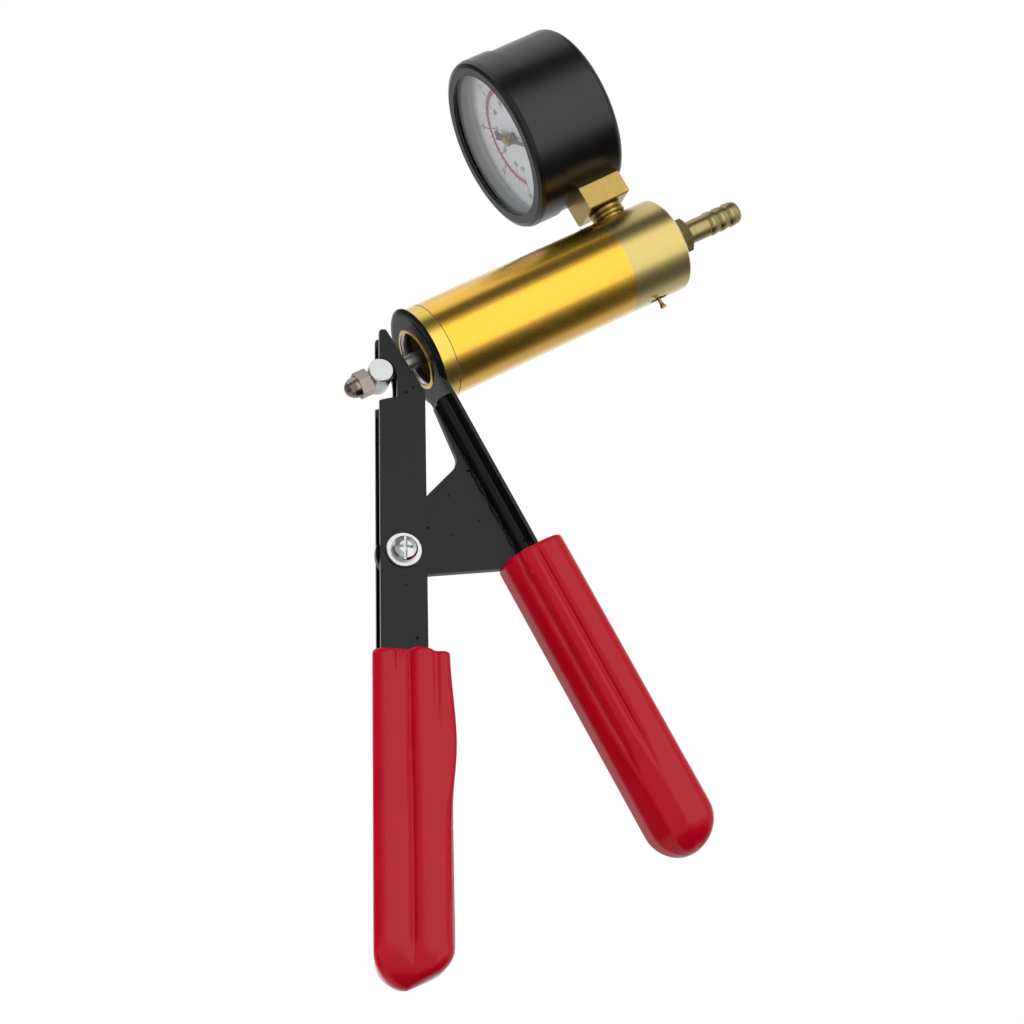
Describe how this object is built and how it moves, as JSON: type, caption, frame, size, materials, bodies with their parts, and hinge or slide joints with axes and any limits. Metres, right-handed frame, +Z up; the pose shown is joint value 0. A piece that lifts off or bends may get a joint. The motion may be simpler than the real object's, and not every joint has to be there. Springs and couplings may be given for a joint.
{
  "type": "hand vacuum pump",
  "caption": "Pistol-style hand vacuum pump with a squeeze lever, a gold piston barrel, a dial gauge, a release pin and a brass hose barb.",
  "frame": {"origin": "the handle mount: the centre of the handle's ring, on the barrel's axis and inside the ring plate's thickness", "axes": "+X along the barrel's axis towards the hose barb, +Z up to the gauge, +Y along the lever's pivot axis to the nut side"},
  "size_m": [0.2494, 0.0622, 0.272],
  "materials": {
    "anodised_gold": "yellow-gold anodised, satin",
    "pale_gold": "pale champagne-gold anodised, satin",
    "black_paint": "gloss black enamel",
    "red_vinyl": "gloss dip-moulded vinyl",
    "brass": "machined brass",
    "steel": "turned steel",
    "dark_nickel": "dark nickel plate",
    "black_plastic": "moulded black plastic",
    "clear": "clear polycarbonate window",
    "white_dial": "matt white print ground",
    "black_rubber": "black nitrile rubber",
    "natural_plastic": "natural acetal"
  },
  "bodies": {
    "housing": {"barrel_tube": "anodised_gold", "front_collar": "anodised_gold", "rod_guide": "black_plastic", "end_cap": "pale_gold", "end_cap_oring": "black_rubber", "hose_barb": "brass", "fixed_handle": "black_paint", "pivot_gusset": "black_paint", "fixed_grip": "red_vinyl", "inlet_check_retainer": "brass", "inlet_check_ball": "steel", "inlet_check_spring": "steel", "release_seal": "black_rubber", "gauge_stem": "brass", "gauge_case": "black_paint", "gauge_bezel": "black_paint", "gauge_window": "clear", "gauge_dial": "white_dial", "movement_frame": "brass", "bourdon_tube": "brass", "return_spring": "steel"},
    "lever": {"moving_lever": "black_paint", "moving_grip": "red_vinyl", "pivot_bush": "steel", "thrust_washer_front": "natural_plastic", "thrust_washer_back": "natural_plastic", "pivot_screw": "steel", "pivot_washer": "steel", "pivot_nut": "steel"},
    "piston": {"piston_rod": "steel", "trunnion_pin": "steel", "acorn_nut": "dark_nickel", "piston_body": "natural_plastic", "piston_seal": "black_rubber", "exhaust_flap": "black_rubber"},
    "pointer": {"pointer": "black_paint", "pointer_spindle": "brass"},
    "release_pin": {"release_pin": "brass"}
  },
  "joints": [
    {"name": "lever_pivot", "type": "hinge", "parent": "housing", "child": "lever", "pos_m": [-0.0415, 0, -0.058], "axis": [0, -1, 0], "range_deg": [0, 24], "stiffness_Nm_per_rad": 3, "springref_deg": -14.32},
    {"name": "piston_slide", "type": "slide", "parent": "housing", "child": "piston", "axis": [-1, 0, 0], "range_m": [0, 0.0266], "deforming": ["return_spring"]},
    {"name": "gauge_pointer", "type": "hinge", "parent": "housing", "child": "pointer", "pos_m": [0.088, -0.0042, 0.05725], "axis": [-0.9986, 0.0522, 0.0038], "range_deg": [0, 270], "stiffness_Nm_per_rad": 0.0005, "springref_deg": -28.65},
    {"name": "release_tilt", "type": "hinge", "parent": "housing", "child": "release_pin", "pos_m": [0.088, 0.00051, -0.00698], "axis": [0, 0.9973, 0.0732], "range_deg": [-8, 8], "stiffness_Nm_per_rad": 0.01}
  ],
  "couplings": [
    {"joint": "piston_slide", "follows": "lever_pivot", "m_per_rad": 0.0631}
  ]
}
